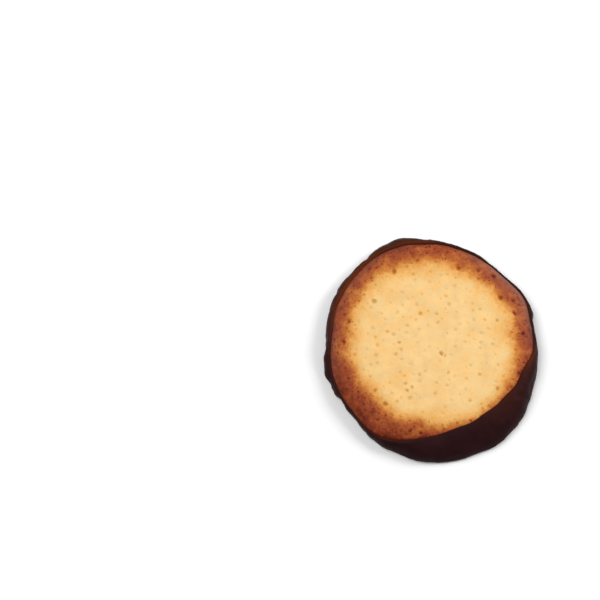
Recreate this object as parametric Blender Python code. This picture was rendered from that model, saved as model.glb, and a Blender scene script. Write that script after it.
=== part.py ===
"""A chocolate tuile: a thin round biscuit whose underside and side wear a coat of dark chocolate.

Lengths are in metres and directions in degrees, counted from +X towards +Y. +X is the biscuit's right
and +Y its back. The origin is on the table, below the middle of the whole thing's bounding box.
The chocolate climbs the side all round. At the front right it laps over the face, and its foot is broad.
"""

import math

import bmesh
import bpy

MM = 0.001

# The biscuit: a flat underside, a rounded lower edge and a low dome that falls away at the rim
RIM_RADIUS = 29.2 * MM
UNDERSIDE_HEIGHT = 1.6 * MM
EDGE_ROUND = 1.4 * MM
DOME_RISE = 3.3 * MM
DOME_POWER = 6
WIDEST_HEIGHT = UNDERSIDE_HEIGHT + EDGE_ROUND

# Unevenness of the rim as waves: how many go round, their height, the direction of a crest.
# Then as lobes: their middle direction, half width and height. A lobe with a negative height is a dent.
RIM_WAVES = (
    (1, 0.90 * MM, 165),
    (2, 0.45 * MM, 95),
    (3, 0.59 * MM, 228),
    (5, 0.20 * MM, 118),
    (9, 0.06 * MM, 15),
)
RIM_LOBES = (
    (12, 20, -0.45 * MM),
    (24, 22, 0.6 * MM),
    (50, 22, -0.72 * MM),
    (106, 36, 0.2 * MM),
    (155, 22, 0.75 * MM),
    (229, 16, 0.2 * MM),
    (240, 20, 1.1 * MM),
)

# The coat: its distance off the biscuit, how thick it is at least and at its upper edge, how far that edge's
# nose reaches on over the biscuit, how round its toe is and how full its bank
GAP = 0.3 * MM
LEAST_THICKNESS = 0.3 * MM
LIP_THICKNESS = 0.4 * MM
LIP_NOSE = 0.25 * MM
TOE_ROUND = 0.6 * MM
BANK_POWER = 1.8

# How far the foot of the coat stands out past the rim: everywhere, then more in some directions
FOOT_LEAST = 0.3 * MM
FOOT_LOBES = (
    (291, 84, 5.0 * MM),
    (138, 84, 1.8 * MM),
    (195, 20, 1.6 * MM),
    (24, 18, 0.75 * MM),
    (92, 14, -0.12 * MM),
    (111, 20, 0.8 * MM),
    (132, 14, -0.65 * MM),
    (229, 16, -0.2 * MM),
    (241, 20, -1.0 * MM),
    (334, 24, -1.0 * MM),
)
FOOT_WAVES = (
    (11, 0.10 * MM, 200),
    (17, 0.09 * MM, 214),
    (26, 0.06 * MM, 160),
)

# How far up the side, and on over the face, the coat climbs, measured along the biscuit's surface
CLIMB_LEAST = 0.9 * MM
CLIMB_LOBES = (
    (150, 95, 2.3 * MM),
    (180, 14, 0.4 * MM),
    (228, 44, 0.3 * MM),
    (301, 88, 5.2 * MM),
    (275, 10, 0.25 * MM),
    (292, 15, -0.45 * MM),
    (329, 10, -0.15 * MM),
    (339, 30, 1.7 * MM),
    (14, 30, 1.1 * MM),
    (46, 24, -0.35 * MM),
    (66, 68, 2.5 * MM),
    (88, 20, 0.35 * MM),
    (106, 24, 0.9 * MM),
)
CLIMB_WAVES = (
    (13, 0.12 * MM, 40),
    (19, 0.08 * MM, 95),
)

# The meshes: how finely they are divided, and from which angle in degrees an edge stays sharp
SECTORS = 120
EDGE_STEPS = 3
DOME_STEPS = 9
TOE_STEPS = 2
BANK_STEPS = 8
INNER_STEPS = 8
COVER_STEPS = 30
FINE_STEPS = 40
SHARP_ANGLE = 50

BISCUIT_COLOUR = (0.80, 0.50, 0.20, 1.0)
BISCUIT_ROUGHNESS = 0.75
CHOCOLATE_COLOUR = (0.028, 0.010, 0.008, 1.0)
CHOCOLATE_ROUGHNESS = 0.4


def lobe(direction, middle, half_width):
    """1 in the middle direction, falling smoothly to 0 at half_width on either side."""
    away = abs((direction - middle + 180) % 360 - 180)
    if away >= half_width:
        return 0.0
    return math.cos(math.radians(90 * away / half_width)) ** 2


def lobes(direction, table):
    return sum(height * lobe(direction, middle, half_width) for middle, half_width, height in table)


def waves(direction, table):
    return sum(height * math.cos(math.radians(count * (direction - crest)))
               for count, height, crest in table)


def rim_radius(direction):
    return RIM_RADIUS + waves(direction, RIM_WAVES) + lobes(direction, RIM_LOBES)


def foot_radius(direction):
    return rim_radius(direction) + FOOT_LEAST + lobes(direction, FOOT_LOBES) + waves(direction, FOOT_WAVES)


def climb(direction):
    return CLIMB_LEAST + lobes(direction, CLIMB_LOBES) + waves(direction, CLIMB_WAVES)


def biscuit_section(rim, edge_steps, dome_steps):
    """Points (radius, height) from the underside's edge, round the rim and in to the middle of the face."""
    points = []
    for step in range(edge_steps + 1):
        turn = math.radians(90 * step / edge_steps)
        radius = rim - EDGE_ROUND * (1 - math.sin(turn))
        points.append((radius, WIDEST_HEIGHT - EDGE_ROUND * math.cos(turn)))
    for step in range(1, dome_steps):
        turn = math.radians(90 * (1 - step / dome_steps))
        radius = rim * math.sin(turn) ** (2 / DOME_POWER)
        points.append((radius, WIDEST_HEIGHT + DOME_RISE * math.cos(turn)))
    points.append((0.0, WIDEST_HEIGHT + DOME_RISE))
    return points


def off_section(section, distance, lift):
    """The point lift above the section's surface, at this distance along it from its start."""
    walked = 0.0
    for start, end in zip(section, section[1:]):
        run = end[0] - start[0]
        rise = end[1] - start[1]
        length = math.hypot(run, rise)
        if walked + length >= distance:
            break
        walked += length
    share = (distance - walked) / length
    radius = start[0] + run * share + lift * rise / length
    height = start[1] + rise * share - lift * run / length
    return radius, height


def radius_at(line, height):
    """The radius at this height of a line that rises from point to point, or 0 past its ends."""
    for start, end in zip(line, line[1:]):
        if start[1] <= height <= end[1]:
            share = (height - start[1]) / (end[1] - start[1])
            return start[0] + (end[0] - start[0]) * share
    return 0.0


def coat_section(direction):
    """Points (radius, height) of the coat from its flat base, out and up to the lip and back inside."""
    section = biscuit_section(rim_radius(direction), FINE_STEPS, FINE_STEPS)
    foot = foot_radius(direction)
    reach = climb(direction)
    lip = off_section(section, reach, GAP + LIP_THICKNESS)
    # The bank stays outside this line, so that the coat is thick enough everywhere
    distances = [reach * step / COVER_STEPS for step in range(COVER_STEPS + 1)]
    cover = [off_section(section, distance, GAP + LEAST_THICKNESS) for distance in distances]
    points = []
    for step in range(TOE_STEPS + 1):
        turn = math.radians(90 * step / TOE_STEPS)
        points.append((foot - TOE_ROUND * (1 - math.sin(turn)), TOE_ROUND * (1 - math.cos(turn))))
    for step in range(1, BANK_STEPS + 1):
        turn = math.radians(90 * step / BANK_STEPS)
        radius = lip[0] + (foot - lip[0]) * math.cos(turn) ** (2 / BANK_POWER)
        height = TOE_ROUND + (lip[1] - TOE_ROUND) * math.sin(turn) ** (2 / BANK_POWER)
        points.append((max(radius, radius_at(cover, height)), height))
    points.append(off_section(section, reach + LIP_NOSE, GAP + LIP_THICKNESS / 2))
    for step in range(INNER_STEPS, -1, -1):
        points.append(off_section(section, reach * step / INNER_STEPS, GAP))
    return points


def turned(sections, base_height, top_height):
    """Rings of points round the Z axis, one section to each direction, between two points on the axis."""
    rings = []
    for around in zip(*sections):
        ring = []
        for sector, (radius, height) in enumerate(around):
            turn = 2 * math.pi * sector / SECTORS
            ring.append((radius * math.cos(turn), radius * math.sin(turn), height))
        rings.append(ring)
    return [[(0.0, 0.0, base_height)], *rings, [(0.0, 0.0, top_height)]]


def middle_of(rings):
    """The middle of the rings' bounding box, as seen from above."""
    across = [point[0] for ring in rings for point in ring]
    along = [point[1] for ring in rings for point in ring]
    return (min(across) + max(across)) / 2, (min(along) + max(along)) / 2


def solid_of(name, rings, middle, material):
    """One closed mesh whose rings are joined in order, with a fan of triangles at each end."""
    model = bmesh.new()
    loops = [[model.verts.new((x - middle[0], y - middle[1], z)) for x, y, z in ring] for ring in rings]
    for sector in range(SECTORS):
        following = (sector + 1) % SECTORS
        model.faces.new((loops[0][0], loops[1][following], loops[1][sector]))
        for lower, upper in zip(loops[1:-2], loops[2:-1]):
            model.faces.new((lower[sector], lower[following], upper[following], upper[sector]))
        model.faces.new((loops[-2][sector], loops[-2][following], loops[-1][0]))
    mesh = bpy.data.meshes.new(name)
    model.to_mesh(mesh)
    model.free()
    mesh.materials.append(material)
    mesh.shade_smooth()
    mesh.set_sharp_from_angle(angle=math.radians(SHARP_ANGLE))
    solid = bpy.data.objects.new(name, mesh)
    bpy.context.scene.collection.objects.link(solid)
    return solid


def plain_material(name, colour, roughness):
    material = bpy.data.materials.new(name)
    material.use_nodes = True
    shader = material.node_tree.nodes["Principled BSDF"]
    shader.inputs["Base Color"].default_value = colour
    shader.inputs["Roughness"].default_value = roughness
    shader.inputs["Metallic"].default_value = 0.0
    material.diffuse_color = colour
    return material


def main():
    for leftover in list(bpy.data.objects):
        bpy.data.objects.remove(leftover, do_unlink=True)

    directions = [360 * sector / SECTORS for sector in range(SECTORS)]
    # The point on the axis stands for the middle of the face
    rims = [biscuit_section(rim_radius(direction), EDGE_STEPS, DOME_STEPS)[:-1] for direction in directions]
    biscuit = turned(rims, UNDERSIDE_HEIGHT, WIDEST_HEIGHT + DOME_RISE)
    coat = turned([coat_section(direction) for direction in directions], 0.0, UNDERSIDE_HEIGHT - GAP)
    middle = middle_of(biscuit + coat)

    solid_of("biscuit", biscuit, middle, plain_material("baked_crumb", BISCUIT_COLOUR, BISCUIT_ROUGHNESS))
    chocolate = plain_material("dark_chocolate", CHOCOLATE_COLOUR, CHOCOLATE_ROUGHNESS)
    solid_of("chocolate_coat", coat, middle, chocolate)


main()
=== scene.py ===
"""The looks of a chocolate tuile: baked face, coat of dark chocolate, floor, light and camera.

Lengths are in metres and directions in degrees, counted from +X towards +Y, as in the part's source.
The tables of the solids are repeated here: each piece follows the solid it replaces and adds relief.
"""

import math
import random

import bpy
import numpy as np
from mathutils import Matrix, Vector, kdtree, noise


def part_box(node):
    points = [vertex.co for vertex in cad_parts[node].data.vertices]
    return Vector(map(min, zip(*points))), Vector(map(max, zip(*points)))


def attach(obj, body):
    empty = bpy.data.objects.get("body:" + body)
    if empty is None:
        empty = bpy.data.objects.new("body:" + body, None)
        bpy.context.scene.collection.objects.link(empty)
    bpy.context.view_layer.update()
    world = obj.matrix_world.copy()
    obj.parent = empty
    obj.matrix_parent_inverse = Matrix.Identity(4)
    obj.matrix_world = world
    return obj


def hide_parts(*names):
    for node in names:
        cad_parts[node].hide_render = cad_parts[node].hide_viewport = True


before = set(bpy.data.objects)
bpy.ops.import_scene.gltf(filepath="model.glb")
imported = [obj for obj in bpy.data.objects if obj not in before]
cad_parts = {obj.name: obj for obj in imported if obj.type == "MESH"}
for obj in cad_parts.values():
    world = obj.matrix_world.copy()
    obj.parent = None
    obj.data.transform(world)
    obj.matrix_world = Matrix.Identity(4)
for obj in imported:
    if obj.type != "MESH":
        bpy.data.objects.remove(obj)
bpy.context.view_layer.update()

MM = 0.001

# The biscuit's section, as in the solids
RIM_RADIUS = 29.2 * MM
UNDERSIDE_HEIGHT = 1.6 * MM
EDGE_ROUND = 1.4 * MM
DOME_RISE = 3.3 * MM
DOME_POWER = 6
WIDEST_HEIGHT = UNDERSIDE_HEIGHT + EDGE_ROUND

# Unevenness of the rim. A wave is how many go round, their height and the direction of a crest.
# A lobe is its middle direction, half width and height.
RIM_WAVES = (
    (1, 0.90 * MM, 165),
    (2, 0.45 * MM, 95),
    (3, 0.59 * MM, 228),
    (5, 0.20 * MM, 118),
    (9, 0.06 * MM, 15),
)
RIM_LOBES = (
    (12, 20, -0.45 * MM),
    (24, 22, 0.6 * MM),
    (50, 22, -0.72 * MM),
    (106, 36, 0.2 * MM),
    (155, 22, 0.75 * MM),
    (229, 16, 0.2 * MM),
    (240, 20, 1.1 * MM),
)

# The coat's section and how far its foot stands out past the rim
GAP = 0.3 * MM
LEAST_THICKNESS = 0.3 * MM
LIP_THICKNESS = 0.4 * MM
TOE_ROUND = 0.6 * MM
BANK_POWER = 1.8
FOOT_LEAST = 0.3 * MM
FOOT_LOBES = (
    (291, 84, 5.0 * MM),
    (138, 84, 1.8 * MM),
    (195, 20, 1.6 * MM),
    (24, 18, 0.75 * MM),
    (92, 14, -0.12 * MM),
    (111, 20, 0.8 * MM),
    (132, 14, -0.65 * MM),
    (229, 16, -0.2 * MM),
    (241, 20, -1.0 * MM),
    (334, 24, -1.0 * MM),
)
FOOT_WAVES = (
    (11, 0.10 * MM, 200),
    (17, 0.09 * MM, 214),
    (26, 0.06 * MM, 160),
)

# How far up the side, and on over the face, the coat climbs
CLIMB_LEAST = 0.9 * MM
CLIMB_LOBES = (
    (150, 95, 2.3 * MM),
    (180, 14, 0.4 * MM),
    (228, 44, 0.3 * MM),
    (301, 88, 5.2 * MM),
    (275, 10, 0.25 * MM),
    (292, 15, -0.45 * MM),
    (329, 10, -0.15 * MM),
    (339, 30, 1.7 * MM),
    (14, 30, 1.1 * MM),
    (46, 24, -0.35 * MM),
    (66, 68, 2.5 * MM),
    (88, 20, 0.35 * MM),
    (106, 24, 0.9 * MM),
)
CLIMB_WAVES = (
    (13, 0.12 * MM, 40),
    (19, 0.08 * MM, 95),
)

# Small scallops of the coat's outline, which the solids leave out, in rows like those of the lobes
SCALLOPS = (
    (17, 5, 0.50 * MM),
    (35, 7, -0.35 * MM),
    (46, 5, -0.20 * MM),
    (92, 3, 0.20 * MM),
    (108, 5, 0.20 * MM),
    (127, 3, -0.30 * MM),
    (135, 3, 0.25 * MM),
    (144, 4, 0.15 * MM),
    (151, 3, -0.25 * MM),
    (183, 4, -0.20 * MM),
    (191, 5, -0.38 * MM),
    (200.5, 4.5, -0.55 * MM),
    (208, 3.5, 0.50 * MM),
    (219, 7, 0.34 * MM),
    (236, 3.5, 0.30 * MM),
    (241, 5, 0.30 * MM),
    (246, 7, 0.45 * MM),
    (256, 5, -0.18 * MM),
    (264, 6, 0.17 * MM),
    (293, 9, -0.18 * MM),
    (305, 7, 0.27 * MM),
    (311, 6, 0.12 * MM),
    (322, 3.5, 0.14 * MM),
    (327, 4, -0.20 * MM),
    (339, 9, -0.26 * MM),
    (354, 5, -0.17 * MM),
)

# How finely the pieces are divided. A ring has half as many points each time it is half as wide.
SECTORS = 832
MOST_HALVINGS = 6
FACE_SPACING = 0.225 * MM
BASE_SPACING = 0.6 * MM
TOE_STEPS = 5
BANK_STEPS = 36
NOSE_STEPS = 6
INNER_STEPS = 5
COVER_STEPS = 60
FINE_STEPS = 160

# Rings across the biscuit's flat underside, and across the chocolate there, as shares of its radius
UNDERSIDE_SHARES = (0.0, 0.25, 0.5, 0.75)

# The chocolate's upper edge: how far up it reaches at least, how uneven it is, and where it runs more
# smoothly, by middle direction, half width and how much
LEAST_REACH = 0.5 * MM
EDGE_UNEVENNESS = 0.12 * MM
CALM_EDGE = ((301, 70, 0.09 * MM),)

# Where that edge is thinner: middle direction, half width, how much thinner
THIN_EDGE = ((66, 46, 0.28 * MM),)

# The rounding of that edge: how far on it ends, how deep it is sunk there, so that no gap shows, and how
# much of the coat's relief it has where it starts
NOSE_REACH = 0.3 * MM
SUNK = 0.12 * MM
NOSE_RELIEF = 0.4

# Where the chocolate is thin enough for the baked brown to show through: middle direction, half width,
# how much. Down the side this fades by a power. The rounding has at least so much, and more at its end.
BROWN_EDGE = (
    (138, 64, 0.75),
    (190, 20, 0.06),
    (98, 18, 0.4),
    (50, 40, 0.12),
    (350, 17, 0.5),
    (322, 32, 0.2),
)
BROWN_EDGE_POWER = 3
BROWN_EDGE_LEAST = 0.08
BROWN_EDGE_MORE = 0.14

# Browning falls from the rim inwards. A row is a distance in, as a share of the ring's width, and how
# brown it is there. The width and the darkest brown are given everywhere and then by direction.
BROWNING = (
    (0.0, 1.06),
    (0.3, 1.00),
    (0.6, 0.93),
    (0.8, 0.82),
    (1.0, 0.62),
    (1.2, 0.42),
    (1.4, 0.28),
    (1.6, 0.17),
    (1.8, 0.09),
    (2.1, 0.05),
    (2.6, 0.03),
    (3.3, 0.00),
)
RING_WIDTH = 5.2 * MM
RING_WIDTH_LOBES = (
    (11, 20, -0.3 * MM),
    (50, 20, -0.5 * MM),
    (75, 55, 0.6 * MM),
    (90, 16, 0.4 * MM),
    (112, 34, 1.0 * MM),
    (165, 22, -0.3 * MM),
    (212, 22, 0.4 * MM),
    (238, 32, 0.7 * MM),
    (296, 42, -1.6 * MM),
)
RING_DARKNESS = 0.68
RING_DARKNESS_LOBES = (
    (8, 20, 0.09),
    (26, 60, 0.02),
    (68, 22, 0.03),
    (106, 28, 0.10),
    (226, 46, 0.13),
    (250, 14, 0.05),
    (300, 50, -0.26),
)

# How much browner it is right beside the chocolate, everywhere and then by direction, and within what
# distance that fades. It is partly browning of the crust and partly painted shade where the face meets
# the chocolate's raised edge.
SHADE_AND_BROWN_BESIDE_CHOCOLATE = 0.34
SHADE_AND_BROWN_BESIDE_LOBES = (
    (60, 62, -0.32),
    (220, 34, 0.20),
    (328, 50, -0.20),
)
SHADE_AND_BROWN_BESIDE_FADES = 0.7 * MM

# A painted greyish sheen on the crust beside the chocolate, standing for light reflected off its steep rim:
# middle direction, half width and how much, and how soon that fades
PAINTED_SHEEN = ((36, 54, 0.95), (140, 72, 0.34), (187, 26, 0.26))
PAINTED_SHEEN_FADES = 1.6 * MM

# Pores seen in the photograph: direction, distance from the middle in mm, width in mm, depth of colour
SEEN_PORES = (
    (5, 24.8, 1.0, 0.9),
    (20, 23.8, 1.0, 0.9),
    (28, 25.1, 1.0, 0.8),
    (34, 22.4, 1.3, 1.0),
    (49, 25.6, 1.3, 0.9),
    (59, 24.2, 1.0, 0.6),
    (72, 22.4, 1.2, 0.7),
    (101, 24.2, 1.0, 0.55),
    (107, 20.3, 0.9, 0.5),
    (119, 23.2, 1.4, 0.9),
    (146, 20.4, 1.3, 0.8),
    (167, 24.5, 1.2, 0.8),
    (181, 25.3, 1.1, 1.0),
    (222, 22.0, 1.0, 0.7),
    (234, 23.0, 1.2, 0.8),
    (256, 26.9, 0.9, 0.5),
    (262, 26.9, 0.8, 0.8),
    (321, 22.4, 1.0, 0.7),
    (338, 25.3, 1.1, 0.8),
    (18, 18.4, 0.9, 0.6),
    (295, 4.5, 1.1, 0.9),
    (302, 5.6, 0.8, 0.5),
    (117, 8.6, 1.1, 0.6),
    (185, 9.8, 0.9, 0.7),
    (170, 13.3, 0.9, 0.5),
    (238, 15.1, 0.9, 0.6),
    (246, 15.2, 0.9, 0.6),
    (243, 16.6, 0.9, 0.7),
    (248, 11.0, 0.8, 0.5),
    (292, 10.4, 0.8, 0.5),
    (321, 16.1, 0.9, 0.5),
    (299, 20.2, 0.9, 0.5),
)

# Pores scattered between those: how many, then their least and greatest distance from the middle, width
# and depth of colour. Two pores keep this share of their widths between their middles.
SCATTERED_PORES = (
    (110, (22.5, 29.0), (0.45, 0.9), (0.15, 0.6)),
    (150, (0.0, 22.5), (0.5, 1.1), (0.08, 0.4)),
)
PORE_SPACING = 0.9
SEED = 11

# A pore's reach as a share of its width, how much it is stretched, and how three-cornered it is. Its points
# are looked for within so many times its reach. Its dimple is as deep as a share of its width, and deeper
# by another share where its colour is deep.
PORE_REACH = 0.8
PORE_STRETCH = (0.03, 0.20)
PORE_CORNERS = 0.06
PORE_SEARCH = 1.5
PORE_HOLLOW = 0.12
PORE_HOLLOW_MORE = 0.22

# Unevenness from smooth noise. A row is the size of its features, its octaves, its place in the pattern
# and, where nothing else sets it, its height.
RING_WANDER = ((5 * MM, 3, 3.0, 0.65 * MM), (1.6 * MM, 2, 4.0, 0.35 * MM))
FACE_SWELL = ((7 * MM, 2, 1.0, 0.10 * MM),)
FOOT_RIPPLES = ((1.8 * MM, 2, 5.0, 0.07 * MM),)
COAT_RELIEF = ((3.2 * MM, 2, 9.0, 0.14 * MM), (1.2 * MM, 2, 11.0, 0.05 * MM))
EDGE_NOISE = (2.2 * MM, 2, 7.0)
GRAIN_NOISE = (1.1 * MM, 3, 2.0)

# How fast the noise's octaves fade, how much finer each is than the last, and which way its places lie
OCTAVE_FADE = 1.0
OCTAVE_STEP = 2.0
PLACE_WAY = (1.0, 0.7, 1.3)

# The height of the crumb's grain, how much higher it is on the browned ring, and how brown that has to be
GRAIN_HEIGHT = 0.012 * MM
GRAIN_MORE = 0.028 * MM
GRAIN_BROWNING = 0.5


def lobes(directions, table):
    """The sum of raised cosines, each given by its middle direction, half width and height."""
    total = np.zeros_like(directions, dtype=float)
    for middle, half_width, height in table:
        away = np.abs((directions - middle + 180) % 360 - 180)
        bump = np.cos(np.radians(90 * away / half_width)) ** 2
        total += np.where(away < half_width, height * bump, 0.0)
    return total


def waves(directions, table):
    """The sum of waves, each given by how many go round, its height and the direction of a crest."""
    return sum(
        height * np.cos(np.radians(count * (directions - crest))) for count, height, crest in table
    )


def rim_radius(directions):
    return RIM_RADIUS + waves(directions, RIM_WAVES) + lobes(directions, RIM_LOBES)


def foot_radius(directions):
    standing_out = FOOT_LEAST + lobes(directions, FOOT_LOBES) + waves(directions, FOOT_WAVES)
    return rim_radius(directions) + standing_out + lobes(directions, SCALLOPS)


def climb(directions):
    return CLIMB_LEAST + lobes(directions, CLIMB_LOBES) + waves(directions, CLIMB_WAVES)


def directions_of(count):
    return 360 * np.arange(count) / count


def directions_at(points):
    return np.degrees(np.arctan2(points[:, 1], points[:, 0])) % 360


def ring_count(share):
    """How many points a ring has whose radius is this share of the outermost ring's."""
    if share <= 0:
        return 1
    return SECTORS >> min(int(-math.log2(min(share, 1.0))), MOST_HALVINGS)


def fine_section():
    """The biscuit's section from the underside's edge to the middle of the face, in short steps.

    Each row is a share of the rim's radius, a distance in from there and a height.
    """
    rows = []
    for step in range(FINE_STEPS):
        turn = math.radians(90 * step / FINE_STEPS)
        inset = EDGE_ROUND * (1 - math.sin(turn))
        rows.append((1.0, inset, WIDEST_HEIGHT - EDGE_ROUND * math.cos(turn)))
    for step in range(FINE_STEPS + 1):
        turn = math.radians(90 * (1 - step / FINE_STEPS))
        share = math.sin(turn) ** (2 / DOME_POWER)
        rows.append((share, 0.0, WIDEST_HEIGHT + DOME_RISE * math.cos(turn)))
    return np.array(rows)


def lengths_along(radius, height):
    """How far along the line each of its points is."""
    steps = np.hypot(np.diff(radius), np.diff(height))
    return np.concatenate(([0.0], np.cumsum(steps)))


def even_stations(rows, spacing):
    """The section's rows again, an even distance apart, each followed by how far along it is."""
    along = lengths_along(RIM_RADIUS * rows[:, 0] - rows[:, 1], rows[:, 2])
    count = round(along[-1] / spacing)
    places = np.linspace(0, along[-1], count + 1)
    columns = [np.interp(places, along, column) for column in rows.T]
    return np.stack([*columns, places], axis=1)


def points_of(directions, radius, height):
    turns = np.radians(directions)
    height = np.broadcast_to(height, radius.shape)
    return np.stack([radius * np.cos(turns), radius * np.sin(turns), height], axis=1)


def joined(lower, upper):
    """Faces between two rings of points, of which one may have fewer points than the other."""
    count = max(len(lower), len(upper))
    faces = []
    for place in range(count):
        corners = []
        for ring, step in ((lower, 0), (lower, 1), (upper, 1), (upper, 0)):
            corner = ring[(place + step) * len(ring) // count % len(ring)]
            if corner not in corners:
                corners.append(corner)
        faces.append(corners)
    return faces


def mesh_of(name, rings):
    """One closed mesh through the rings, which start and end with a single point on the axis."""
    faces = []
    first = 0
    indices = []
    for ring in rings:
        indices.append(list(range(first, first + len(ring))))
        first += len(ring)
    for lower, upper in zip(indices, indices[1:]):
        faces.extend(joined(lower, upper))
    mesh = bpy.data.meshes.new(name)
    mesh.from_pydata(np.concatenate(rings).tolist(), [], faces)
    mesh.shade_smooth()
    piece = bpy.data.objects.new(name, mesh)
    bpy.context.scene.collection.objects.link(piece)
    return piece


def points_in(mesh):
    points = np.empty(len(mesh.vertices) * 3)
    mesh.vertices.foreach_get("co", points)
    return points.reshape(-1, 3)


def normals_in(mesh):
    normals = np.empty(len(mesh.vertices) * 3)
    mesh.vertex_normals.foreach_get("vector", normals)
    return normals.reshape(-1, 3)


def raise_points(mesh, heights):
    """Moves each point along its normal."""
    moved = points_in(mesh) + normals_in(mesh) * heights[:, None]
    mesh.vertices.foreach_set("co", moved.ravel())
    mesh.update()


def attribute(mesh, name, values):
    layer = mesh.attributes.new(name, "FLOAT", "POINT")
    layer.data.foreach_set("value", np.asarray(values, dtype=np.float32))


def rough(points, size, octaves, place):
    """Smooth noise, about -1 to 1, whose features are about this size."""
    shift = Vector([place * part for part in PLACE_WAY])
    return np.array(
        [noise.fractal(Vector(point) / size + shift, OCTAVE_FADE, OCTAVE_STEP, octaves) for point in points]
    )


def uneven(points, rows):
    """The sum of noises, each given by its size, octaves, place and height."""
    return sum(height * rough(points, size, octaves, place) for size, octaves, place, height in rows)


def smooth_step(values):
    values = np.clip(values, 0, 1)
    return values * values * (3 - 2 * values)


def edge_reach(directions):
    """How far along the biscuit's section the chocolate comes, with its small unevenness."""
    circle = points_of(directions, rim_radius(directions), 0.0)
    unevenness = rough(circle, *EDGE_NOISE) * (EDGE_UNEVENNESS - lobes(directions, CALM_EDGE))
    return np.maximum(climb(directions) + unevenness, LEAST_REACH)


def chosen_pores(chance):
    """The pores as rows of direction, distance from the middle in mm, width in mm and depth of colour."""
    pores = list(SEEN_PORES)

    def clear(direction, distance, width):
        place = distance * np.exp(1j * math.radians(direction))
        for other_direction, other_distance, other_width, _ in pores:
            other = other_distance * np.exp(1j * math.radians(other_direction))
            if abs(place - other) < (width + other_width) * PORE_SPACING:
                return False
        return True

    for count, (nearest, farthest), widths, depths in SCATTERED_PORES:
        wanted = len(pores) + count
        while len(pores) < wanted:
            direction = chance.uniform(0, 360)
            distance = math.sqrt(chance.uniform(nearest**2, farthest**2))
            width = chance.uniform(*widths)
            if clear(direction, distance, width):
                pores.append((direction, distance, width, chance.uniform(*depths)))
    return pores


def pore_fields(points, heights, pores, chance):
    """The depth of the pores' dimples, and of their colour, at each point of the upper face."""
    upper = np.nonzero(heights > WIDEST_HEIGHT)[0]
    tree = kdtree.KDTree(len(upper))
    for index in upper:
        tree.insert((points[index, 0], points[index, 1], 0.0), int(index))
    tree.balance()
    hollow = np.zeros(len(points))
    stain = np.zeros(len(points))
    for direction, distance, width, depth in pores:
        turn = math.radians(direction)
        place = (distance * MM * math.cos(turn), distance * MM * math.sin(turn), 0.0)
        reach = width * MM * PORE_REACH
        deepest = width * MM * (PORE_HOLLOW + PORE_HOLLOW_MORE * depth)
        long_way = chance.uniform(0, math.tau)
        three_way = chance.uniform(0, math.tau)
        stretch = chance.uniform(*PORE_STRETCH)
        for found, index, away in tree.find_range(place, reach * PORE_SEARCH):
            turn = math.atan2(found.y - place[1], found.x - place[0])
            bulge = stretch * math.cos(2 * turn - long_way) + PORE_CORNERS * math.cos(3 * turn - three_way)
            edge = reach * (1 + bulge)
            if away >= edge:
                continue
            fall = (1 - (away / edge) ** 2) ** 2
            hollow[index] = max(hollow[index], fall * deepest)
            stain[index] = max(stain[index], fall * depth)
    return hollow, stain


def browning(points, inward, beside):
    """How brown each point is, from 0 to about 1, painted shade beside the chocolate's edge included.

    inward is its distance in from the rim, and beside its distance from the chocolate's edge.
    """
    directions = directions_at(points)
    width = RING_WIDTH + lobes(directions, RING_WIDTH_LOBES)
    darkness = RING_DARKNESS + lobes(directions, RING_DARKNESS_LOBES)
    shares, levels = zip(*BROWNING)
    toast = darkness * np.interp((inward + uneven(points, RING_WANDER)) / width, shares, levels)
    # Painted shade: the crust is drawn darker right beside the chocolate's raised edge, along with some
    # real browning
    beside_shade_and_brown = SHADE_AND_BROWN_BESIDE_CHOCOLATE + lobes(directions, SHADE_AND_BROWN_BESIDE_LOBES)
    return toast + beside_shade_and_brown * np.exp(-np.maximum(beside, 0) / SHADE_AND_BROWN_BESIDE_FADES)


def painted_sheen(points, beside):
    """How much painted sheen each point has."""
    return lobes(directions_at(points), PAINTED_SHEEN) * np.exp(-np.maximum(beside, 0) / PAINTED_SHEEN_FADES)


def make_biscuit(shift, chance):
    """The baked disc, with its browning and painted shade, painted sheen and pores' colour as attributes.
    """
    stations = even_stations(fine_section(), FACE_SPACING)
    flat_share = 1 - EDGE_ROUND / RIM_RADIUS
    base = [(share * flat_share, 0.0, UNDERSIDE_HEIGHT, 0.0) for share in UNDERSIDE_SHARES]
    reach = edge_reach(directions_of(SECTORS))
    rings = []
    inward = []
    beside = []
    for share, inset, height, along in base + [tuple(row) for row in stations]:
        directions = directions_of(ring_count(share))
        rims = rim_radius(directions)
        rings.append(points_of(directions, rims * share - inset, height))
        inward.append(rims * (1 - share))
        reached = np.interp(directions, directions_of(SECTORS), reach, period=360)
        beside.append(along + (rims - RIM_RADIUS) * (1 - share) - reached)
    piece = mesh_of("baked_biscuit", rings)
    mesh = piece.data
    points = points_in(mesh)
    heights = points[:, 2]
    beside = np.concatenate(beside)
    toast = browning(points, np.concatenate(inward), beside)
    hollow, stain = pore_fields(points, heights, chosen_pores(chance), chance)
    # toast also holds the painted shade beside the chocolate's edge
    attribute(mesh, "toast", toast)
    attribute(mesh, "painted_sheen", painted_sheen(points, beside))
    attribute(mesh, "pore", stain)

    shown = smooth_step((heights - UNDERSIDE_HEIGHT) / EDGE_ROUND)
    ringed = smooth_step(toast / GRAIN_BROWNING)
    grain = rough(points, *GRAIN_NOISE) * (GRAIN_HEIGHT + GRAIN_MORE * ringed)
    raise_points(mesh, (uneven(points, FACE_SWELL) + grain) * shown - hollow)
    mesh.transform(Matrix.Translation(shift))
    return piece


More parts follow.
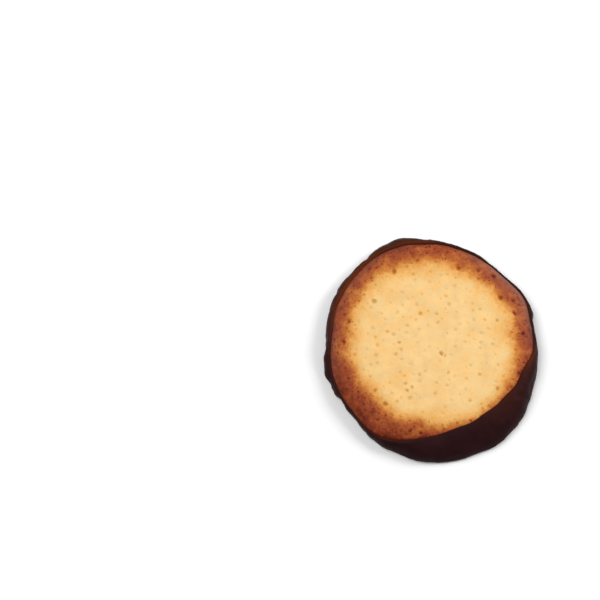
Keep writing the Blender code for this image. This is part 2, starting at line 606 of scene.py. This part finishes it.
def surface_line(rim):
    """Lengths along the biscuit's section at this rim radius, its points and its outward normals."""
    rows = fine_section()
    radius = rim * rows[:, 0] - rows[:, 1]
    height = rows[:, 2]
    along = lengths_along(radius, height)
    run = np.gradient(radius, along)
    rise = np.gradient(height, along)
    size = np.hypot(run, rise)
    return along, radius, height, rise / size, -run / size


def off_surface(directions, distance, lift):
    """Radius and height at these distances along the biscuit's section, lifted off it.

    There is one row of distances and lifts to each direction.
    """
    radius = np.empty_like(distance)
    height = np.empty_like(distance)
    for row, rim in enumerate(rim_radius(directions)):
        along, line_radius, line_height, out, up = surface_line(rim)
        places = distance[row]
        radius[row] = np.interp(places, along, line_radius) + lift[row] * np.interp(places, along, out)
        height[row] = np.interp(places, along, line_height) + lift[row] * np.interp(places, along, up)
    return radius, height


def radius_at(heights, line_radius, line_height):
    """The radius of each direction's rising line at that direction's height, or 0 past its ends."""
    radius = np.empty_like(heights)
    for row, height in enumerate(heights):
        radius[row] = np.interp(height, line_height[row], line_radius[row], left=0.0, right=0.0)
    return radius


def make_coat(shift):
    """The chocolate: a flat base, a round toe, the bank up to its edge on the biscuit, and the inside.

    Each ring has its share of the relief, and says how much brown shows through the chocolate.
    """
    directions = directions_of(SECTORS)
    circle = points_of(directions, rim_radius(directions), 0.0)
    foot = foot_radius(directions) + uneven(circle, FOOT_RIPPLES)
    reach = edge_reach(directions)
    brown = lobes(directions, BROWN_EDGE)
    crown = GAP + LIP_THICKNESS - lobes(directions, THIN_EDGE)
    rings = []
    strength = []
    thin = []

    def add(radius, height, amount, thinness=0.0):
        rings.append(points_of(directions_of(len(radius)), radius, height))
        strength.append(np.full(len(radius), amount))
        thin.append(np.broadcast_to(thinness, len(radius)))

    base_radius = foot - TOE_ROUND
    base_steps = round(RIM_RADIUS / BASE_SPACING)
    for step in range(base_steps):
        share = step / base_steps
        add(base_radius[:: SECTORS // ring_count(share)] * share, 0.0, 0.0)
    for step in range(TOE_STEPS + 1):
        turn = math.radians(90 * step / TOE_STEPS)
        radius = foot - TOE_ROUND * (1 - math.sin(turn))
        add(radius, TOE_ROUND * (1 - math.cos(turn)), step / TOE_STEPS)

    edge_out, edge_up = off_surface(directions, reach[:, None], crown[:, None])
    edge_out = edge_out[:, 0]
    edge_up = edge_up[:, 0]
    # The bank stays outside this line, so that it covers the biscuit
    distance = reach[:, None] * np.linspace(0, 1, COVER_STEPS + 1)
    lift = np.broadcast_to(np.minimum(crown, GAP + LEAST_THICKNESS)[:, None], distance.shape)
    cover_out, cover_up = off_surface(directions, distance, lift)
    for step in range(1, BANK_STEPS + 1):
        turn = math.radians(90 * step / BANK_STEPS)
        out = math.cos(turn) ** (2 / BANK_POWER)
        up = math.sin(turn) ** (2 / BANK_POWER)
        radius = edge_out + (foot - edge_out) * out
        height = TOE_ROUND + (edge_up - TOE_ROUND) * up
        radius = np.maximum(radius, radius_at(height, cover_out, cover_up))
        add(radius, height, 1.0, brown * (step / BANK_STEPS) ** BROWN_EDGE_POWER)

    turns = np.radians(90 * np.arange(1, NOSE_STEPS + 1) / NOSE_STEPS)
    distance = reach[:, None] + NOSE_REACH * np.sin(turns)
    lift = -SUNK + (crown[:, None] + SUNK) * np.cos(turns)
    nose_out, nose_up = off_surface(directions, distance, lift)
    for step in range(NOSE_STEPS):
        share = (step + 1) / NOSE_STEPS
        thinness = np.maximum(brown, BROWN_EDGE_LEAST + BROWN_EDGE_MORE * share)
        add(nose_out[:, step], nose_up[:, step], NOSE_RELIEF * (1 - share), thinness)

    shares = np.linspace(1, 0, INNER_STEPS + 1)[1:]
    distance = (reach[:, None] + NOSE_REACH) * shares
    inner_out, inner_up = off_surface(directions, distance, np.full_like(distance, -SUNK))
    for step in range(INNER_STEPS):
        add(inner_out[:, step], inner_up[:, step], 0.0)
    for share in reversed(UNDERSIDE_SHARES):
        add(inner_out[:: SECTORS // ring_count(share), -1] * share, UNDERSIDE_HEIGHT + SUNK, 0.0)

    piece = mesh_of("chocolate", rings)
    mesh = piece.data
    raise_points(mesh, uneven(points_in(mesh), COAT_RELIEF) * np.concatenate(strength))
    attribute(mesh, "thin", np.concatenate(thin))
    mesh.transform(Matrix.Translation(shift))
    return piece


def own_middle():
    """The middle of the biscuit's box as the tables draw it, with its rim about 0, 0."""
    directions = directions_of(SECTORS)
    rim = points_of(directions, rim_radius(directions), 0.0)
    return (rim.min(axis=0) + rim.max(axis=0)) / 2


class Recipe:
    """Adds nodes to a material and links them."""

    def __init__(self, name):
        self.material = bpy.data.materials.new(name)
        self.material.use_nodes = True
        self.tree = self.material.node_tree
        self.shader = self.tree.nodes["Principled BSDF"]
        self.place = self.add("ShaderNodeTexCoord").outputs["Object"]

    def add(self, kind, **settings):
        node = self.tree.nodes.new(kind)
        for name, value in settings.items():
            setattr(node, name, value)
        return node

    def link(self, source, target):
        self.tree.links.new(source, target)

    def feed(self, value, target):
        """Links the target to the value if that is another socket, and sets it if not."""
        if isinstance(value, bpy.types.NodeSocket):
            self.link(value, target)
        else:
            target.default_value = value

    def attribute(self, name):
        return self.add("ShaderNodeAttribute", attribute_name=name).outputs["Fac"]

    def noise(self, size, detail, roughness):
        """Noise from 0 to 1 whose features are about this size."""
        node = self.add("ShaderNodeTexNoise")
        node.inputs["Scale"].default_value = 1 / size
        node.inputs["Detail"].default_value = detail
        node.inputs["Roughness"].default_value = roughness
        self.link(self.place, node.inputs["Vector"])
        return node.outputs["Fac"]

    def math(self, operation, *values, clamp=False):
        node = self.add("ShaderNodeMath", operation=operation, use_clamp=clamp)
        for socket, value in zip(node.inputs, values):
            self.feed(value, socket)
        return node.outputs[0]

    def ramp(self, factor, stops):
        """A colour for each factor; stops are (place, colour)."""
        node = self.add("ShaderNodeValToRGB")
        elements = node.color_ramp.elements
        while len(elements) < len(stops):
            elements.new(0.5)
        for element, (place, colour) in zip(elements, stops):
            element.position = place
            element.color = colour
        self.link(factor, node.inputs["Fac"])
        return node.outputs["Color"]

    def mix(self, factor, first, second, blend="MIX"):
        node = self.add("ShaderNodeMix", data_type="RGBA", blend_type=blend)
        for value, socket in ((factor, "Factor"), (first, COLOUR_A), (second, COLOUR_B)):
            self.feed(value, node.inputs[socket])
        return node.outputs[MIXED_COLOUR]

    def bump(self, height, distance, strength):
        node = self.add("ShaderNodeBump")
        node.inputs["Distance"].default_value = distance
        node.inputs["Strength"].default_value = strength
        self.link(height, node.inputs["Height"])
        self.link(node.outputs["Normal"], self.shader.inputs["Normal"])


def grey(value):
    return (value, value, value, 1.0)


# The places of a mix node's colours among its sockets
COLOUR_A = 6
COLOUR_B = 7
MIXED_COLOUR = 2

# The crumb's noises: the size of their features, their detail and their roughness
MOTTLE = (5.5 * MM, 4, 0.6)
SPECKLE = (2.0 * MM, 4, 0.72)
SPECKS = (0.75 * MM, 2, 0.5)
TONE = (2.8 * MM, 3, 0.55)
FINE_GRAIN = (0.35 * MM, 3, 0.6)
NOISE_MIDDLE = 0.5

# How much they and the pores add to the level of browning. All but the mottle add in step with that
# level, and the PALE values are what is left of them where it is 0.
SPECKLE_BROWNS = 0.90
SPECKLE_PALE = 0.12
MOTTLE_BROWNS = 0.55
SPECKS_SHOW = ((0.60, grey(0.0)), (0.74, grey(1.0)))
SPECKS_BROWN = 0.50
SPECKS_PALE = 0.04
PORES_BROWN = 0.28
PORES_PALE = 0.04

# The crumb's colour from unbrowned to darkest, by level of browning
TOASTED_COLOURS = (
    (0.00, (0.883, 0.588, 0.253, 1.0)),
    (0.12, (0.846, 0.497, 0.169, 1.0)),
    (0.25, (0.776, 0.389, 0.104, 1.0)),
    (0.40, (0.615, 0.230, 0.045, 1.0)),
    (0.55, (0.459, 0.126, 0.025, 1.0)),
    (0.67, (0.357, 0.078, 0.021, 1.0)),
    (0.80, (0.266, 0.045, 0.013, 1.0)),
    (1.00, (0.137, 0.018, 0.006, 1.0)),
)

# What that colour is darkened by, for each depth of a pore's colour and each level of the tone
PORE_SHADES = (
    (0.0, grey(1.0)),
    (0.5, (0.76, 0.68, 0.48, 1.0)),
    (1.0, (0.60, 0.42, 0.20, 1.0)),
)
TONE_SHADES = ((0.3, grey(0.86)), (0.7, grey(1.0)))

# The painted sheen's colour, and what the speckle that breaks it up is multiplied by, to be 1 on average
PAINTED_SHEEN_COLOUR = (0.165, 0.130, 0.116, 1.0)
PAINTED_SHEEN_SPECKLE = 2.0

# How rough the crumb is and how much its grain adds, how strongly it reflects, and its bump
CRUMB_ROUGHNESS = 0.5
CRUMB_ROUGHNESS_MORE = 0.2
CRUMB_REFLECTS = 0.1
CRUMB_BUMP = 0.10 * MM
CRUMB_BUMP_STRENGTH = 0.6
SPECKLE_BUMP = 1.2

# The chocolate's noises, and its colour by level of the first
CLOUD = (6 * MM, 3, 0.5)
SATIN = (0.7 * MM, 4, 0.6)
CHOCOLATE_COLOURS = (
    (0.3, (0.0180, 0.0056, 0.0064, 1.0)),
    (0.7, (0.0255, 0.0078, 0.0086, 1.0)),
)
THIN_CHOCOLATE_COLOUR = (0.125, 0.0250, 0.0030, 1.0)

# How rough the chocolate is and how much its cloud adds, how strongly it reflects and in what tint, and
# its bump
CHOCOLATE_ROUGHNESS = 0.40
CHOCOLATE_ROUGHNESS_MORE = 0.14
CHOCOLATE_REFLECTS = 0.045
CHOCOLATE_TINT = (1.0, 0.62, 0.58, 1.0)
CHOCOLATE_BUMP = 0.05 * MM
CHOCOLATE_BUMP_STRENGTH = 0.4


def biscuit_material():
    """Baked crumb: pale gold, browning to the rim, with stained pores, fine specks and faint mottling."""
    recipe = Recipe("baked_crumb_finish")
    toast = recipe.attribute("toast")
    pore = recipe.attribute("pore")
    mottle = recipe.noise(*MOTTLE)
    speckle = recipe.noise(*SPECKLE)
    specks = recipe.ramp(recipe.noise(*SPECKS), SPECKS_SHOW)
    grain = recipe.noise(*FINE_GRAIN)

    browned = recipe.math("MULTIPLY", recipe.math("SUBTRACT", speckle, NOISE_MIDDLE), SPECKLE_BROWNS)
    browned = recipe.math("MULTIPLY", browned, recipe.math("ADD", toast, SPECKLE_PALE))
    toned = recipe.math("MULTIPLY", recipe.math("SUBTRACT", mottle, NOISE_MIDDLE), MOTTLE_BROWNS)
    specks_brown = recipe.math("MULTIPLY_ADD", toast, SPECKS_BROWN, SPECKS_PALE)
    pores_brown = recipe.math("MULTIPLY_ADD", toast, PORES_BROWN, PORES_PALE)
    level = recipe.math("ADD", toast, recipe.math("ADD", browned, toned))
    level = recipe.math("ADD", level, recipe.math("MULTIPLY", specks, specks_brown))
    level = recipe.math("ADD", level, recipe.math("MULTIPLY", pore, pores_brown), clamp=True)
    colour = recipe.ramp(level, TOASTED_COLOURS)

    colour = recipe.mix(1.0, colour, recipe.ramp(pore, PORE_SHADES), "MULTIPLY")
    colour = recipe.mix(1.0, colour, recipe.ramp(recipe.noise(*TONE), TONE_SHADES), "MULTIPLY")
    # Painted sheen: a greyish tint mixed into the crust beside the chocolate, for light reflected off the
    # steep rim
    sheen_patches = recipe.math("MULTIPLY", speckle, PAINTED_SHEEN_SPECKLE)
    painted_sheen_share = recipe.math("MULTIPLY", recipe.attribute("painted_sheen"), sheen_patches)
    painted_sheen_share = recipe.math("MULTIPLY", painted_sheen_share, recipe.math("SUBTRACT", 1.0, pore))
    colour = recipe.mix(painted_sheen_share, colour, PAINTED_SHEEN_COLOUR)
    recipe.link(colour, recipe.shader.inputs["Base Color"])

    roughness = recipe.math("MULTIPLY_ADD", grain, CRUMB_ROUGHNESS_MORE, CRUMB_ROUGHNESS)
    recipe.link(roughness, recipe.shader.inputs["Roughness"])
    recipe.shader.inputs["Specular IOR Level"].default_value = CRUMB_REFLECTS
    height = recipe.math("ADD", grain, recipe.math("MULTIPLY", speckle, SPECKLE_BUMP))
    recipe.bump(height, CRUMB_BUMP, CRUMB_BUMP_STRENGTH)
    return recipe.material


def chocolate_material():
    """Satin dark chocolate, a little uneven in tone and gloss, and browner where it is thin at its edge."""
    recipe = Recipe("dark_chocolate_finish")
    cloud = recipe.noise(*CLOUD)
    colour = recipe.ramp(cloud, CHOCOLATE_COLOURS)
    colour = recipe.mix(recipe.attribute("thin"), colour, THIN_CHOCOLATE_COLOUR)
    recipe.link(colour, recipe.shader.inputs["Base Color"])
    roughness = recipe.math("MULTIPLY_ADD", cloud, CHOCOLATE_ROUGHNESS_MORE, CHOCOLATE_ROUGHNESS)
    recipe.link(roughness, recipe.shader.inputs["Roughness"])
    recipe.shader.inputs["Specular IOR Level"].default_value = CHOCOLATE_REFLECTS
    recipe.shader.inputs["Specular Tint"].default_value = CHOCOLATE_TINT
    recipe.bump(recipe.noise(*SATIN), CHOCOLATE_BUMP, CHOCOLATE_BUMP_STRENGTH)
    return recipe.material


# The floor and the light that comes from all round
FLOOR_SIZE = 12.0
FLOOR_COLOUR = grey(0.94)
FLOOR_ROUGHNESS = 0.9
WORLD_LIGHT = 0.26

# The lamps: direction, height above the horizon, distance, size, and the share of plain white that each
# gives a white floor
LAMPS = {
    "key": (160, 60, 1.4, 1.0, 0.58),
    "right": (20, 35, 1.3, 0.5, 0.35),
    "back": (68, 34, 1.3, 0.8, 0.07),
}

# The camera stands this far from its target, a point that falls on this pixel of the 600 by 600 picture.
# There the picture has this many pixels to a metre.
TARGET = Vector((0.0, 0.0, 3.0 * MM))
TARGET_PIXEL = (430.25, 346.15)
PICTURE_SIZE = 600
PIXELS_PER_METRE = 3563.0
CAMERA_DISTANCE = 0.6
CAMERA_DIRECTION = -90
CAMERA_ELEVATION = 72
SENSOR_WIDTH = 36.0
NEAREST_SEEN = 0.01
FARTHEST_SEEN = 50.0


def toward(azimuth, elevation):
    """The unit vector to this direction and height above the horizon."""
    turn = math.radians(azimuth)
    rise = math.radians(elevation)
    return Vector((math.cos(turn) * math.cos(rise), math.sin(turn) * math.cos(rise), math.sin(rise)))


def soft_light(name, azimuth, elevation, distance, size, floor_share):
    """A square lamp that gives a white floor this share of the brightness of plain white."""
    lamp = bpy.data.lights.new(name, "AREA")
    lamp.shape = "SQUARE"
    lamp.size = size
    lamp.energy = floor_share * (math.pi * distance) ** 2 / math.sin(math.radians(elevation))
    light = bpy.data.objects.new(name, lamp)
    light.location = toward(azimuth, elevation) * distance
    light.rotation_euler = light.location.to_track_quat("Z", "Y").to_euler()
    bpy.context.scene.collection.objects.link(light)


def floor_material():
    material = bpy.data.materials.new("floor_white")
    material.use_nodes = True
    shader = material.node_tree.nodes["Principled BSDF"]
    shader.inputs["Base Color"].default_value = FLOOR_COLOUR
    shader.inputs["Roughness"].default_value = FLOOR_ROUGHNESS
    shader.inputs["Specular IOR Level"].default_value = 0.0
    return material


def make_stage():
    """A white floor, even light from all round and the lamps."""
    half = FLOOR_SIZE / 2
    corners = [(-half, -half, 0), (half, -half, 0), (half, half, 0), (-half, half, 0)]
    mesh = bpy.data.meshes.new("floor")
    mesh.from_pydata(corners, [], [(0, 1, 2, 3)])
    mesh.materials.append(floor_material())
    floor = bpy.data.objects.new("floor", mesh)
    bpy.context.scene.collection.objects.link(floor)

    world = bpy.data.worlds.new("studio")
    world.use_nodes = True
    background = world.node_tree.nodes["Background"]
    background.inputs["Color"].default_value = grey(1.0)
    background.inputs["Strength"].default_value = WORLD_LIGHT
    bpy.context.scene.world = world

    for name, row in LAMPS.items():
        soft_light(name, *row)
    bpy.context.scene.view_settings.view_transform = "Standard"


def make_camera():
    """A camera at the photograph's angle, turned so that the biscuit falls where it does there."""
    camera = bpy.data.cameras.new("camera")
    focal_pixels = PIXELS_PER_METRE * CAMERA_DISTANCE
    camera.sensor_width = SENSOR_WIDTH
    camera.lens = focal_pixels / PICTURE_SIZE * SENSOR_WIDTH
    camera.clip_start = NEAREST_SEEN
    camera.clip_end = FARTHEST_SEEN
    holder = bpy.data.objects.new("camera", camera)
    back = toward(CAMERA_DIRECTION, CAMERA_ELEVATION)
    holder.location = TARGET + back * CAMERA_DISTANCE
    centre = PICTURE_SIZE / 2
    aside = (TARGET_PIXEL[0] - centre) / focal_pixels
    below = (TARGET_PIXEL[1] - centre) / focal_pixels
    turn = Vector((aside, -below, -1)).rotation_difference(Vector((0, 0, -1)))
    holder.rotation_mode = "QUATERNION"
    holder.rotation_quaternion = back.to_track_quat("Z", "Y") @ turn
    bpy.context.scene.collection.objects.link(holder)
    bpy.context.scene.camera = holder


def main():
    make_camera()
    make_stage()

    chance = random.Random(SEED)
    low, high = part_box("biscuit")
    middle = own_middle()
    shift = Vector(((low.x + high.x) / 2 - middle[0], (low.y + high.y) / 2 - middle[1], 0.0))

    biscuit = make_biscuit(shift, chance)
    biscuit.data.materials.append(biscuit_material())
    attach(biscuit, "root")
    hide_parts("biscuit")

    coat = make_coat(shift)
    coat.data.materials.append(chocolate_material())
    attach(coat, "root")
    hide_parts("chocolate_coat")

    for piece in (biscuit, coat):
        print(piece.name, len(piece.data.vertices), "points", len(piece.data.polygons), "faces")


main()
bpy.context.view_layer.update()
